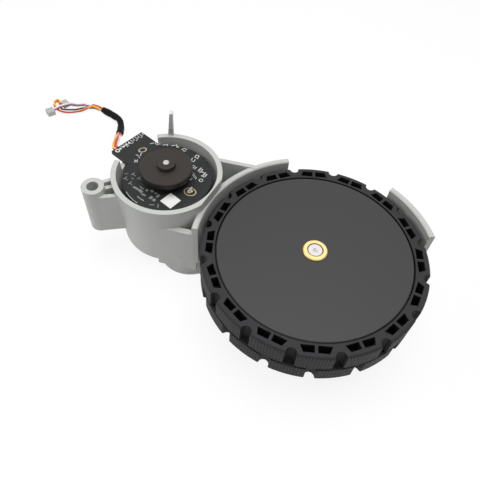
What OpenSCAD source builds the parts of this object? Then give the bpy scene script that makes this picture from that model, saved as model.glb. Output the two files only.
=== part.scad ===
// Driven wheel module of a robot vacuum: a moulded swing arm that carries a motor in a round cup,
// a three-stage reduction under the wheel and a wheel with a two-row rubber tread.
// The wheel's axis is the Z axis. Z = 0 is the flat back of the gear cover, on which the module lies.

/* [Wheel] */
// Diameter over the tread
wheel_d = 70; // [68:0.5:71]
// Width of the tyre
wheel_w = 14; // [13:0.25:15]
// Height of the tyre's outer face above the back of the module
face_z = 26; // [25.5:0.25:28]
// Lugs in each of the two rows of the tread
lug_count = 16; // [12:1:20]
// Height of a lug above the tread's floor
lug_h = 2.1; // [1.6:0.1:2.4]
// Width of the groove between two lugs
groove_w = 3.2; // [2.4:0.1:3.8]
// Width of the slit between the two rows of lugs
row_slit = 1.1; // [0.3:0.1:1.4]
// Thickness of the tyre under its lugs
tyre_wall = 2.4; // [2.2:0.1:2.8]
// Depth of the hollows in the tyre's outer face
pocket_depth = 5; // [3:0.5:6]
// Length of one hollow along the tread
pocket_l = 4; // [3:0.1:4.4]
// Thickness of the wheel's front disc
disc_t = 2; // [1.5:0.1:3]
// Thickness of the wheel's barrel under the tyre
barrel_t = 1.8; // [1.2:0.1:2.5]
// Ribs between the wheel's hub and its barrel
spoke_count = 8; // [5:1:10]

/* [Axle and bearings] */
// Diameter of the wheel's steel axle
axle_d = 5; // [4.5:0.1:5.2]
// Outside diameter of the brass insert in the hub
insert_d = 7.6; // [7:0.1:8.2]
// How far the brass insert stands out of the wheel's face
insert_proud = 0.6; // [0.3:0.1:1]
// Outside diameter of the ball bearing
bearing_d = 11; // [10.5:0.1:12]
// Width of the ball bearing
bearing_w = 4; // [3.5:0.1:4.4]
// Balls in the bearing
ball_count = 8; // [6:1:9]
// Radial running gap round the axle and the shafts
run_gap = 0.03; // [0.02:0.01:0.06]

/* [Motor] */
// Diameter of the motor's can
motor_d = 27.7; // [27:0.1:28]
// Diameter of the motor's shaft
shaft_d = 2; // [1.8:0.1:2.3]
// Diameter of the encoder's magnet disc
magnet_d = 16.8; // [14:0.2:18]
// Thickness of the encoder's magnet disc
magnet_t = 2; // [1.5:0.1:2.5]
// Angle of the motor's axis round the wheel, counted from +X
motor_angle = 154.6; // [150:0.2:158]

/* [Gears] */
// Module of the first mesh, motor to gear 1
mesh1_module = 0.4; // [0.38:0.01:0.41]
// Module of the second mesh, gear 1 to gear 2
mesh2_module = 0.5; // [0.49:0.01:0.52]
// Module of the third mesh, gear 2 to the output gear
mesh3_module = 0.8; // [0.79:0.01:0.82]
// Teeth of the motor's pinion
pinion_teeth = 10; // [9:1:11]
// Teeth of gear 1's large wheel
gear1_large = 44; // [42:1:45]
// Teeth of gear 1's small wheel
gear1_small = 12; // [11:1:13]
// Teeth of gear 2's large wheel
gear2_large = 48; // [47:1:49]
// Teeth of gear 2's small wheel
gear2_small = 12; // [12:1:13]
// Teeth of the output gear
output_teeth = 62; // [61:1:63]
// Pressure angle of all the teeth
pressure_angle = 25; // [22:1:26]
// Angle of gear 1's axis round the motor's axis
gear1_angle = -44; // [-50:1:-40]
// Diameter of the gears' fixed pins
pin_d = 2; // [1.6:0.1:2.2]

/* [Housing] */
// Gap between the tread and the wheel well
well_gap = 1.4; // [1:0.1:2]
// Thickness of the fender round the wheel
fender_t = 2; // [1.5:0.1:2.5]
// Height of the fender above the tyre's outer face
fender_rise = 1.7; // [0.5:0.1:3]
// Outer diameter of the motor cup at its rim
cup_d = 36; // [35.6:0.1:37]
// Outer diameter of the motor cup at its foot
cup_foot_d = 33; // [32.6:0.1:34]
// Thickness of the motor cup's wall
cup_wall = 1.7; // [1.4:0.05:1.9]
// Height of the cup's rim above the back of the module
rim_z = 31.2; // [31:0.1:33]
// General wall thickness of the gear case
case_wall = 1.4; // [1.2:0.1:1.8]
// Thickness of the plates of the housing and the cover
plate_t = 1.6; // [1.4:0.1:1.8]
// Clear height inside the gear case
gear_room = 7; // [6.9:0.1:7.6]
// Distance from the wheel's axis to the pivot bore along X
pivot_x = 70.5; // [69:0.5:74]
// Distance from the wheel's axis to the pivot bore along Y
pivot_y = 14.2; // [13:0.2:16]
// Diameter of the pivot bore
pivot_bore_d = 3.8; // [3:0.1:4.4]
// Wall of the pivot boss
pivot_wall = 1.7; // [1.4:0.1:2]
// Length of the pivot boss
pivot_l = 18.2; // [16:0.2:20]
// Height of the horn above the cup's rim
horn_h = 9.2; // [6:0.2:12]

/* [Circuit board and leads] */
// Diameter of the round part of the circuit board
board_d = 29.2; // [28:0.1:30]
// Thickness of the circuit board
board_t = 1.4; // [1:0.1:1.6]
// Depth of the board's top below the cup's rim
board_sunk = 2.45; // [2.2:0.05:3]
// Reach of the board's tab from the motor's axis
tab_reach = 22.1; // [20:0.1:23]
// Width of the board's tab
tab_w = 13.5; // [12:0.1:13.8]
// Diameter of the bundle of five leads
bundle_d = 2.1; // [1.8:0.1:2.2]
// Diameter of one lead's insulation
lead_d = 0.8; // [0.7:0.05:0.9]
// Wall of the shrink sleeve
sleeve_wall = 0.22; // [0.15:0.01:0.3]

/* [Hidden] */
$fn = 64;
eps = 0.01;

// Wheel and wheel well
wheel_r = wheel_d / 2;
tyre_back = face_z - wheel_w;
floor_r = wheel_r - lug_h;
rim_r = floor_r - tyre_wall;
pitch_deg = 360 / lug_count;
tread_phase = 89.4;
edge_chamfer = 0.6;
slit_z = tyre_back + wheel_w / 2 + 0.3;
slit_r = floor_r + 0.4;
well_r = wheel_r + well_gap;
fender_r = well_r + fender_t;
fender_top = face_z + fender_rise;
fender_from = 103.3;
fender_to = 174.8;
tab_from = 12;
tab_to = 46;

// Heights in the gear case
case_top = plate_t + gear_room;
plate_top = case_top + plate_t;
cup_foot_z = 4;
step_top = cup_foot_z + plate_t;

// Motor and cup, the cup just reaching into the wheel well
cup_r = cup_d / 2;
cup_foot_r = cup_foot_d / 2;
cup_flat = 0.84;
motor_dist = well_r + cup_r - cup_flat;
motor_x = motor_dist * cos(motor_angle);
motor_y = motor_dist * sin(motor_angle);
motor_r = motor_d / 2;
shaft_r = shaft_d / 2;
board_top = rim_z - board_sunk;
board_z = board_top - board_t;
motor_top = board_z - 0.15;
end_cap_t = 1.8;
can_top = motor_top - end_cap_t;
can_wall = 0.8;
can_front = 1.2;
spigot_h = 1.4;
motor_bush_r = 2.9;
armature_r = 10.9;
armature_z = plate_top + can_front + 1.6;
armature_h = 8.2;
commutator_r = 3;
motor_fit = 0.15;
pilot_r = 3.2;
shaft_low = step_top + 0.2;
magnet_r = magnet_d / 2;
magnet_z = rim_z + 0.6;
magnet_boss_r = 3.1;
magnet_boss_h = 1.4;
shaft_top = magnet_z + magnet_t + magnet_boss_h + 0.4;

// Gear train, each axis placed by its centre distances
addendum = 0.9;
dedendum = 1.2;
backlash = 0.11;
gear_gap = 0.3;
d_motor_1 = mesh1_module * (pinion_teeth + gear1_large) / 2;
d_1_2 = mesh2_module * (gear1_small + gear2_large) / 2;
d_2_out = mesh3_module * (gear2_small + output_teeth) / 2;
g1_x = motor_x + d_motor_1 * cos(gear1_angle);
g1_y = motor_y + d_motor_1 * sin(gear1_angle);
g1_dist = norm([g1_x, g1_y]);
g1_dir = atan2(g1_y, g1_x);
g2_swing = acos((d_2_out * d_2_out + g1_dist * g1_dist - d_1_2 * d_1_2) / (2 * d_2_out * g1_dist));
g2_x = d_2_out * cos(g1_dir - g2_swing);
g2_y = d_2_out * sin(g1_dir - g2_swing);
pin_r = pin_d / 2;
gear1_large_t = 2.2;
gear2_large_t = 2.4;
output_t = 2.8;
gear_low = plate_t + gear_gap;
gear_high = case_top - gear_gap;
output_z = gear_high - output_t - 0.1;
tip_gap = 0.75;
lobe1_r = mesh1_module * (gear1_large / 2 + addendum) + tip_gap + case_wall;
lobe2_r = mesh2_module * (gear2_large / 2 + addendum) + tip_gap + case_wall;
lobe3_r = mesh3_module * (output_teeth / 2 + addendum) + tip_gap + case_wall;

// Axle, insert and bearings
axle_r = axle_d / 2;
insert_r = insert_d / 2;
bearing_r = bearing_d / 2;
race_t = 0.75;
ball_r = (bearing_r - axle_r) / 2 - race_t + 0.25;
seat_lip = 0.8;
bearing_z = case_top + seat_lip;
bearing_top = bearing_z + bearing_w;
bush_r = axle_r + 1.5;
bush_z = 1.2;
bush_h = 3.2;
axle_low = bush_z + 0.1;
axle_top = face_z + insert_proud - 0.15;
hub_r = insert_r + 2.2;
hub_low = bearing_top + 0.8;

// Pivot boss and its arm
pivot_r = pivot_bore_d / 2 + pivot_wall;
pivot_low = rim_z - pivot_l;
arm_top = rim_z - 2;
rib_t = 1.5;
web_offset = 9.5;
grip_h = 8;

// Screws
screw_r = 0.9;
screw_head_r = 1.9;
screw_head_h = 1.2;
screw_boss_r = 2.5;
screw_fit = 0.15;
case_seat = 3;
cup_seat = step_top + 1;
screw_out = 1.8;
case_screws = concat(
    [for (a = [-35, 30, 88]) polar(lobe3_r + screw_out, a)],
    [for (a = [100, 256]) [g2_x, g2_y] + polar(lobe2_r + screw_out, a)]);
cup_screw_ring = 12.2;
cup_screws = [for (a = [105, 195]) [motor_x, motor_y] + polar(cup_screw_ring, a)];
motor_screw_ring = 8;
motor_screw_r = 1.2;
motor_screw_head_r = 2.1;
motor_screws_at = [for (a = [90, -90]) [motor_x, motor_y] + polar(motor_screw_ring, gear1_angle + a)];

// Board tab, in the board's own turned frame
tab_dir = 142.1;
tab_shift = -1.8;
notch_from = 109.4;
notch_to = 169;
terminal_ring = 9.6;
terminal_dir = -32.5;
bundle_shift = 2.5;

// Leads: the route of the bundle and of the three groups it splits into, in order
bundle_r = bundle_d / 2;
lead_r = lead_d / 2;
tab_out = [cos(tab_dir), sin(tab_dir), 0];
tab_edge = [motor_x, motor_y, board_z + board_t / 2] + tab_reach * tab_out
    + bundle_shift * [-sin(tab_dir), cos(tab_dir), 0];
bundle_route = [tab_edge, tab_edge + 1.2 * tab_out, [-68.6, 37.6, 28.0], [-68.9, 41.0, 26.9],
    [-70.4, 46.0, 23.2], [-72.2, 50.4, 18.8], [-73.9, 55.0, 14.0], [-75.6, 59.6, 9.5],
    [-76.8, 64.4, 5.6], [-77.5, 69.2, 2.9], [-78.0, 73.6, 1.7], [-78.8, 77.3, 1.4],
    [-80.4, 80.2, 1.4], [-83.0, 82.2, 1.4], [-86.2, 84.2, 1.4], [-89.2, 86.0, 1.3],
    [-92.2, 87.2, 1.2], [-94.6, 87.2, 1.15]];
sleeve_from = 9;
sleeve_to = 15;
red_route = [[-94.9, 86.7, 0.9], [-97.0, 84.9, 0.7], [-100.0, 83.4, 0.6], [-103.4, 82.5, 0.6],
    [-106.8, 83.0, 0.6], [-109.2, 84.6, 0.7], [-110.7, 86.8, 0.9], [-110.5, 88.4, 1.1],
    [-109.7, 88.9, 1.2], [-108.9, 88.4, 1.15], [-108.5, 87.6, 1.1], [-108.23, 87.16, 1.0],
    [-107.898, 87.154, 1.0], [-107.63, 87.451, 1.0]];
black_route = [[-95.1, 87.2, 1.3], [-97.4, 86.2, 0.9], [-100.6, 85.3, 0.5], [-103.6, 84.8, 0.5],
    [-106.4, 84.67, 0.6], [-107.1, 84.97, 0.7], [-107.4, 85.67, 0.85], [-107.141, 86.343, 1.0],
    [-106.806, 86.715, 1.0]];
purple_route = [[-94.9, 87.8, 0.9], [-97.8, 88.4, 0.6], [-101.0, 87.9, 0.5], [-103.4, 87.0, 1.4],
    [-105.8, 85.2, 1.9], [-108.0, 84.05, 1.65], [-109.127, 83.169, 1.3], [-109.6, 82.8, 1.3]];
rear_plug_dir = 48;
rear_plug_at = [-107.066, 86.949];
front_plug_dir = 218;
front_plug_at = [-109.6, 82.8];

module at(x, y, z = 0) {
    translate([x, y, z]) children();
}

module tube(r_out, r_in, h) {
    difference() {
        cylinder(r = r_out, h = h);
        at(0, 0, -1) cylinder(r = r_in, h = h + 2);
    }
}

// Outline of a spur gear with involute flanks, a tooth on the X axis turned by the phase
function involute(base_r, r) = sqrt(pow(r / base_r, 2) - 1) * 180 / PI - acos(base_r / r);

function flank(base_r, pitch_r, r, half_deg) =
    half_deg + involute(base_r, pitch_r) - involute(base_r, max(r, base_r));

function polar(r, a) = [r * cos(a), r * sin(a)];

module gear_outline(teeth, gear_module, phase) {
    pitch_r = gear_module * teeth / 2;
    base_r = pitch_r * cos(pressure_angle);
    root_r = pitch_r - dedendum * gear_module;
    tip_r = pitch_r + addendum * gear_module;
    low_r = max(root_r, base_r) + eps;
    half_deg = 90 / teeth - backlash * 90 / PI / pitch_r;
    radii = [for (i = [0 : 3]) low_r + (tip_r - low_r) * i / 3];
    root_half = flank(base_r, pitch_r, low_r, half_deg) + 10 / teeth;
    polygon([for (k = [0 : teeth - 1])
        let (a = phase + 360 * k / teeth)
        each concat(
            [polar(root_r, a - root_half)],
            [for (i = [0 : 3]) polar(radii[i], a - flank(base_r, pitch_r, radii[i], half_deg))],
            [for (i = [3 : -1 : 0]) polar(radii[i], a + flank(base_r, pitch_r, radii[i], half_deg))],
            [polar(root_r, a + root_half)])]);
}

module spur(teeth, gear_module, phase, z, h) {
    at(0, 0, z) linear_extrude(h) gear_outline(teeth, gear_module, phase);
}

// Plan shapes of the gear case
module case_lobes(inset) {
    at(g1_x, g1_y) circle(r = lobe1_r - inset);
    at(g2_x, g2_y) circle(r = lobe2_r - inset);
    circle(r = lobe3_r - inset);
}

module cup_lobe(inset) {
    at(motor_x, motor_y) circle(r = cup_foot_r - inset);
}

module arc_wall(r_in, r_out, z0, z1, a0, a1, lip) {
    rotate([0, 0, a0])
        rotate_extrude(angle = a1 - a0)
            polygon([[r_in, z0], [r_out, z0], [r_out, z1 - lip], [r_out - lip, z1],
                [r_in + lip, z1], [r_in, z1 - lip]]);
}

function front_corner() = polar(well_r + 0.9, fender_to - 0.2);

// Swing arm: gear case, wheel well, motor cup and pivot boss in one moulding
module housing() {
    color("gainsboro")
    difference() {
        union() {
            difference() {
                union() {
                    housing_outside();
                    motor_cup_outside();
                }
                housing_hollows();
            }
            motor_cup_ribs();
            housing_bosses();
        }
        housing_bores();
    }
}

module housing_outside() {
    at(0, 0, plate_t) linear_extrude(plate_top - plate_t) case_lobes(0);
    at(0, 0, case_top)
        rotate([0, 0, tab_from + 1])
            rotate_extrude(angle = fender_to - tab_from - 2)
                translate([lobe3_r - 2, 0]) square([well_r + fender_t / 2 - lobe3_r + 2, plate_t]);
    arc_wall(well_r, fender_r, case_top + 0.5, fender_top, fender_from, fender_to, 0.4);
    arc_wall(well_r, fender_r, case_top + 0.5, fender_top, tab_from, tab_to, 0.4);
    front_wall();
    back_web();
    pivot_arm();
}

// Wall of the arm on the near side, from the cup to the end of the fender
module front_wall() {
    corner = front_corner();
    cup_side = [motor_x - 2, motor_y - cup_r + 0.7];
    at(0, 0, cup_foot_z)
        linear_extrude(rim_z - 7.2 - cup_foot_z)
            polygon([cup_side, corner, corner + [0.3, rib_t + 0.4], cup_side + [0, rib_t + 0.4]]);
    at(0, 0, cup_foot_z)
        linear_extrude(plate_top - 0.5 - cup_foot_z)
            polygon([cup_side, corner, [g1_x, g1_y], [motor_x, motor_y]]);
}

// Web on the far side, whose top falls from the cup's rim to the fender
module back_web() {
    web_y = motor_y + web_offset;
    cup_end = motor_x + cup_r - 5;
    fender_end = -sqrt(pow(fender_r, 2) - pow(web_y, 2)) + 0.8;
    translate([0, web_y, 0])
        rotate([90, 0, 0])
            linear_extrude(rib_t)
                polygon([[cup_end, case_top + 0.8], [fender_end, case_top + 0.8], [fender_end, fender_top],
                    [cup_end, rim_z - 0.9]]);
    at(0, 0, case_top + 0.3)
        linear_extrude(plate_t - 0.7)
            polygon([[cup_end, web_y - rib_t / 2], [fender_end, web_y - rib_t / 2], polar(well_r + 1, 150), [motor_x, motor_y]]);
}

// Pivot boss, its three ribs to the cup and the floor between them
module pivot_arm() {
    reach = pivot_x + motor_x;
    at(-pivot_x, pivot_y, pivot_low) cylinder(r = pivot_r, h = pivot_l);
    for (side = [[-pivot_r + rib_t / 2, -0.4], [0.3, 4.6], [pivot_r - rib_t / 2, 9.2]])
        at(0, 0, pivot_low)
            linear_extrude(arm_top - pivot_low)
                polygon([[-pivot_x, pivot_y + side[0] - rib_t / 2],
                    [-pivot_x + reach / 2, pivot_y + side[1] - rib_t / 2],
                    [-pivot_x + reach / 2, pivot_y + side[1] + rib_t / 2],
                    [-pivot_x, pivot_y + side[0] + rib_t / 2]]);
    at(0, 0, pivot_low)
        linear_extrude(plate_t)
            polygon([[-pivot_x, pivot_y - pivot_r], [-pivot_x + reach / 2, pivot_y - 1.15],
                [-pivot_x + reach / 2, pivot_y + 9.95], [-pivot_x, pivot_y + pivot_r]]);
}

module motor_cup_outside() {
    difference() {
        at(motor_x, motor_y, step_top)
            rotate([0, 0, -125])
                cylinder(r1 = cup_foot_r + 0.1, r2 = cup_r, h = rim_z - step_top, $fn = 96);
        rotate([0, 0, motor_angle])
            translate([0, -cup_r, step_top - 1]) cube([well_r + 0.3, cup_d, rim_z]);
    }
    horn();
}

// Tapered horn on the far side of the cup
module horn() {
    horn_low = rim_z - 10;
    at(motor_x - 1.7, motor_y + cup_r + 0.9)
        rotate([90, 0, 0])
            linear_extrude(1.8)
                polygon([[-0.9, horn_low], [1.5, horn_low], [1.3, rim_z], [1.5, rim_z + horn_h],
                    [0.5, rim_z + horn_h], [-0.5, rim_z]]);
}

module housing_hollows() {
    // Inside of the gear case
    linear_extrude(case_top) case_lobes(case_wall);
    at(0, 0, step_top - eps) linear_extrude(case_top - step_top + eps) cup_lobe(case_wall);
    at(motor_x, motor_y) cylinder(r = cup_foot_r, h = step_top);
    // Inside of the motor cup
    at(motor_x, motor_y, plate_top)
        rotate([0, 0, -125])
            cylinder(r1 = cup_foot_r + 0.3 - cup_wall, r2 = cup_r - cup_wall, h = rim_z - plate_top + eps, $fn = 96);
    // Notch in the rim for the board's tab
    at(motor_x, motor_y, board_z - 0.3)
        linear_extrude(rim_z)
            polygon([polar(cup_r - cup_wall - 2, notch_from), polar(cup_r + 4, notch_from),
                polar(cup_r + 9, (notch_from + notch_to) / 2), polar(cup_r + 4, notch_to),
                polar(cup_r - cup_wall - 2, notch_to)]);
}

// Upright ribs that hold the motor in its cup
module motor_cup_ribs() {
    grip_r = motor_r + motor_fit;
    rib_end = cup_foot_r - 0.3;
    at(motor_x, motor_y)
        difference() {
            for (k = [0 : 5])
                rotate([0, 0, 15 + 60 * k])
                    translate([grip_r - 0.5, -rib_t / 2, case_top])
                        cube([rib_end - grip_r + 0.5, rib_t, grip_h]);
            at(0, 0, plate_top) cylinder(r = grip_r, h = rim_z);
        }
}

// Bearing boss and the bosses for the cover's screws
module housing_bosses() {
    at(0, 0, case_top) cylinder(r = bearing_r + 1.6, h = bearing_top + 0.2 - case_top);
    for (p = case_screws)
        at(p[0], p[1], case_seat) cylinder(r = screw_boss_r, h = case_top - case_seat + eps);
    for (p = cup_screws)
        at(p[0], p[1], cup_seat) cylinder(r = screw_boss_r, h = case_top - cup_seat + eps);
}

module housing_bores() {
    at(0, 0, case_top - 1) cylinder(r = bearing_r - 1.3, h = rim_z);
    at(0, 0, bearing_z) cylinder(r = bearing_r, h = rim_z);
    at(motor_x, motor_y, case_top - 1) cylinder(r = pilot_r, h = plate_t + 2);
    for (p = motor_screws_at)
        at(p[0], p[1], case_top - 1) cylinder(r = motor_screw_r + screw_fit, h = plate_t + 2);
    for (g = [[g1_x, g1_y], [g2_x, g2_y]])
        at(g[0], g[1], case_top - 1) cylinder(r = pin_r, h = plate_t + 0.4);
    at(-pivot_x, pivot_y, pivot_low - 1) cylinder(r = pivot_bore_d / 2, h = pivot_l + 2);
    // Seats for the cover's screw bosses and the screws' own holes
    for (p = case_screws) {
        at(p[0], p[1]) cylinder(r = screw_boss_r + 0.1, h = case_seat);
        at(p[0], p[1], case_seat - 1) cylinder(r = screw_r, h = case_top - case_seat);
    }
    for (p = cup_screws)
        at(p[0], p[1], cup_seat - 1) cylinder(r = screw_r, h = case_top - cup_seat + 1.6);
}

// Plan of the cover's raised floor under the motor cup, clear of the case's own walls
module foot_plan() {
    difference() {
        cup_lobe(0);
        difference() {
            case_lobes(-0.05);
            cup_lobe(case_wall + 0.1);
        }
    }
}

// Cover that closes the gear case, stepped up under the motor cup
module gear_cover() {
    color("lightgray")
    difference() {
        union() {
            difference() {
                union() {
                    linear_extrude(plate_t) case_lobes(0);
                    cover_foot();
                    cover_step();
                }
                at(0, 0, plate_t) linear_extrude(case_top) case_lobes(case_wall);
            }
            cylinder(r = bush_r + 1.6, h = bush_z + bush_h);
            for (p = case_screws)
                at(p[0], p[1]) cylinder(r = screw_boss_r, h = case_seat);
            for (p = cup_screws)
                at(p[0], p[1], cup_foot_z + 0.2) cylinder(r = screw_boss_r, h = cup_seat - cup_foot_z - 0.2);
        }
        at(0, 0, bush_z) cylinder(r = bush_r, h = case_top);
        for (g = [[g1_x, g1_y], [g2_x, g2_y]])
            at(g[0], g[1], 0.6) cylinder(r = pin_r + 0.05, h = plate_t);
        for (p = case_screws)
            screw_hole(p, 0);
        for (p = cup_screws)
            screw_hole(p, cup_foot_z);
    }
}

module screw_hole(p, z) {
    at(p[0], p[1], z - 1) cylinder(r = screw_head_r + 0.2, h = screw_head_h + 1.2);
    at(p[0], p[1], z) cylinder(r = screw_r + screw_fit, h = plate_t + 2);
}

// Raised floor with a rounded lower edge
module cover_foot() {
    round_r = 1.2;
    intersection() {
        at(motor_x, motor_y, cup_foot_z)
            rotate_extrude()
                union() {
                    square([cup_foot_r - round_r, plate_t]);
                    at(0, round_r) square([cup_foot_r, plate_t - round_r]);
                    at(cup_foot_r - round_r, round_r) circle(r = round_r);
                }
        at(0, 0, cup_foot_z) linear_extrude(plate_t) foot_plan();
    }
}

module cover_step() {
    linear_extrude(step_top)
        intersection() {
            difference() {
                case_lobes(0);
                case_lobes(case_wall);
            }
            cup_lobe(case_wall + 0.1);
        }
}

// Pan-head screw driven upwards, its head at the bottom
module screw(p, z, r, head_r, head_h, l) {
    at(p[0], p[1], z)
        difference() {
            union() {
                cylinder(r = head_r, h = head_h);
                cylinder(r = r, h = head_h + l);
            }
            translate([-head_r * 0.6, -0.25, -0.5]) cube([head_r * 1.2, 0.5, 1]);
            translate([-0.25, -head_r * 0.6, -0.5]) cube([0.5, head_r * 1.2, 1]);
        }
}

module cover_screws() {
    color("silver") {
        for (p = case_screws)
            screw(p, 0.2, screw_r, screw_head_r, screw_head_h, case_top - case_seat);
        for (p = cup_screws)
            screw(p, cup_foot_z + 0.2, screw_r, screw_head_r, screw_head_h, 3.4);
    }
}

module motor_can() {
    color("silver")
    at(motor_x, motor_y, plate_top)
        difference() {
            cylinder(r = motor_r, h = can_top - plate_top);
            at(0, 0, can_front) cylinder(r = motor_r - can_wall, h = rim_z);
            at(0, 0, -1) cylinder(r = motor_bush_r, h = rim_z);
            for (a = [90, -90])
                rotate([0, 0, gear1_angle + a])
                    at(motor_screw_ring, 0, -1) cylinder(r = motor_screw_r, h = can_front + 2);
        }
}

module motor_end_cap() {
    color("dimgray")
    at(motor_x, motor_y, can_top)
        difference() {
            union() {
                cylinder(r = motor_r, h = end_cap_t);
                at(0, 0, -spigot_h)
                    tube(motor_r - can_wall, motor_r - can_wall - 1.5, spigot_h + eps);
            }
            at(0, 0, -1) cylinder(r = motor_bush_r, h = end_cap_t + 2);
            for (a = [0, 180])
                rotate([0, 0, terminal_dir + a])
                    translate([terminal_ring - 0.4, -1.1, -1]) cube([0.8, 2.2, end_cap_t + 2]);
        }
}

module motor_magnets() {
    color("dimgray")
    at(motor_x, motor_y, plate_top + can_front + 0.5)
        for (a = [0, 180])
            rotate([0, 0, a + 35])
                rotate_extrude(angle = 110)
                    translate([armature_r + 0.4, 0])
                        square([motor_r - can_wall - armature_r - 0.4, can_top - spigot_h - plate_top - can_front - 0.9]);
}

module motor_bushes() {
    color("darkgoldenrod") {
        at(motor_x, motor_y, case_top + 0.2) tube(motor_bush_r, shaft_r + run_gap, plate_t + can_front + 0.3);
        at(motor_x, motor_y, motor_top - end_cap_t - 0.8) tube(motor_bush_r, shaft_r + run_gap, end_cap_t + 0.8);
    }
}

module motor_screws() {
    color("silver")
        for (p = motor_screws_at)
            screw(p, case_top - 1.3, motor_screw_r, motor_screw_head_r, 1.3, plate_t + can_front - 0.2);
}

module motor_shaft() {
    color("silver")
    at(motor_x, motor_y, shaft_low) {
        cylinder(r = shaft_r, h = shaft_top - shaft_low - 0.2);
        at(0, 0, shaft_top - shaft_low - 0.2) cylinder(r1 = shaft_r, r2 = shaft_r - 0.2, h = 0.2);
    }
}

// Three-pole stack of the armature
module armature_core() {
    color("slategray")
    at(motor_x, motor_y, armature_z)
        difference() {
            union() {
                cylinder(r = 3.6, h = armature_h);
                for (a = [0 : 120 : 240])
                    rotate([0, 0, a]) {
                        translate([0, -1.5, 0]) cube([armature_r - 0.8, 3, armature_h]);
                        rotate([0, 0, -50])
                            rotate_extrude(angle = 100)
                                translate([armature_r - 1.6, 0]) square([1.6, armature_h]);
                    }
            }
            at(0, 0, -1) cylinder(r = shaft_r, h = armature_h + 2);
        }
}

// Coil round each pole
module armature_windings() {
    color("peru")
    at(motor_x, motor_y, armature_z)
        for (a = [0 : 120 : 240])
            rotate([0, 0, a])
                difference() {
                    translate([4.4, -3.1, -1]) cube([3.6, 6.2, armature_h + 2]);
                    translate([3, -1.5, 0]) cube([7, 3, armature_h]);
                }
}

module commutator() {
    color("peru")
    at(motor_x, motor_y, armature_z + armature_h) tube(commutator_r, shaft_r, can_top - armature_z - armature_h - 1);
}

module motor_brushes() {
    color("peru")
    at(motor_x, motor_y, can_top - spigot_h + 0.2)
        for (a = [90, 270])
            rotate([0, 0, a])
                translate([commutator_r + 0.12, -1, 0])
                    cube([motor_r - can_wall - 1.6 - commutator_r - 0.12, 2, 0.9]);
}

// Solder tabs of the motor, which stand up through the board
module motor_terminals() {
    color("gold")
    at(motor_x, motor_y, can_top)
        for (a = [0, 180])
            rotate([0, 0, terminal_dir + a])
                translate([terminal_ring - 0.3, -1, 0]) cube([0.6, 2, board_top + 0.7 - can_top]);
}

module motor_pinion() {
    color("goldenrod")
    at(motor_x, motor_y)
        difference() {
            spur(pinion_teeth, mesh1_module, gear1_angle, shaft_low, gear_high - shaft_low + 0.1);
            cylinder(r = shaft_r, h = rim_z);
        }
}

// Black magnet disc on its hub, pressed on the shaft's far end
module encoder_magnet() {
    color([0.16, 0.15, 0.15])
    at(motor_x, motor_y)
        difference() {
            rotate_extrude()
                polygon([[0, board_top + 0.3], [magnet_boss_r, board_top + 0.3], [magnet_boss_r, magnet_z],
                    [magnet_r, magnet_z], [magnet_r, magnet_z + magnet_t - 0.3],
                    [magnet_r - 0.3, magnet_z + magnet_t], [magnet_boss_r, magnet_z + magnet_t],
                    [magnet_boss_r - 0.2, magnet_z + magnet_t + magnet_boss_h],
                    [0, magnet_z + magnet_t + magnet_boss_h]]);
            cylinder(r = shaft_r, h = 2 * rim_z);
        }
}

module hall_sensors() {
    color([0.1, 0.1, 0.1])
    at(motor_x, motor_y, board_top)
        for (a = [60, 100])
            rotate([0, 0, a])
                translate([magnet_r - 3.2, -1.5, 0]) cube([1.6, 3, 1.2]);
}

// Board: a disc with a centre hole and a tab that leaves the cup through its notch
module circuit_board() {
    color([0.12, 0.13, 0.12])
    at(motor_x, motor_y, board_z)
        linear_extrude(board_t)
            difference() {
                union() {
                    circle(r = board_d / 2);
                    rotate(tab_dir) translate([0, tab_shift - tab_w / 2]) square([tab_reach, tab_w]);
                }
                circle(r = magnet_boss_r + 1.2);
                for (a = [0, 180])
                    rotate(terminal_dir + a) translate([terminal_ring - 0.4, -1.1]) square([0.8, 2.2]);
                rotate(tab_dir)
                    for (k = [0 : 4])
                        translate([tab_reach - 1.3, tab_shift + tab_w / 2 - 1.6 - 1.3 * k]) circle(r = 0.35);
            }
}

module reduction_gear_1() {
    color("ivory")
    at(g1_x, g1_y)
        difference() {
            union() {
                spur(gear1_large, mesh1_module, gear1_angle + 180 + 180 / gear1_large, gear_high - gear1_large_t - 0.1, gear1_large_t);
                spur(gear1_small, mesh2_module, atan2(g2_y - g1_y, g2_x - g1_x), gear_low, gear_high - gear1_large_t - gear_low);
                at(0, 0, gear_low) cylinder(r = pin_r + 0.9, h = gear_high - gear_low);
            }
            cylinder(r = pin_r + run_gap + 0.01, h = case_top);
        }
}

module reduction_gear_2() {
    color("ivory")
    at(g2_x, g2_y)
        difference() {
            union() {
                spur(gear2_large, mesh2_module, atan2(g2_y - g1_y, g2_x - g1_x) + 180 + 180 / gear2_large, gear_low + gear_gap, gear2_large_t);
                spur(gear2_small, mesh3_module, atan2(-g2_y, -g2_x), gear_low + gear_gap + gear2_large_t - eps,
                    gear_high - gear_low - gear_gap - gear2_large_t + eps);
                at(0, 0, gear_low) cylinder(r = pin_r + 1.6, h = gear_high - gear_low);
            }
            cylinder(r = pin_r + run_gap + 0.01, h = case_top);
        }
}

module gear_pins() {
    color("silver")
        for (g = [[g1_x, g1_y], [g2_x, g2_y]])
            at(g[0], g[1], 0.7) cylinder(r = pin_r, h = case_top + 0.9 - 0.7);
}

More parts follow.
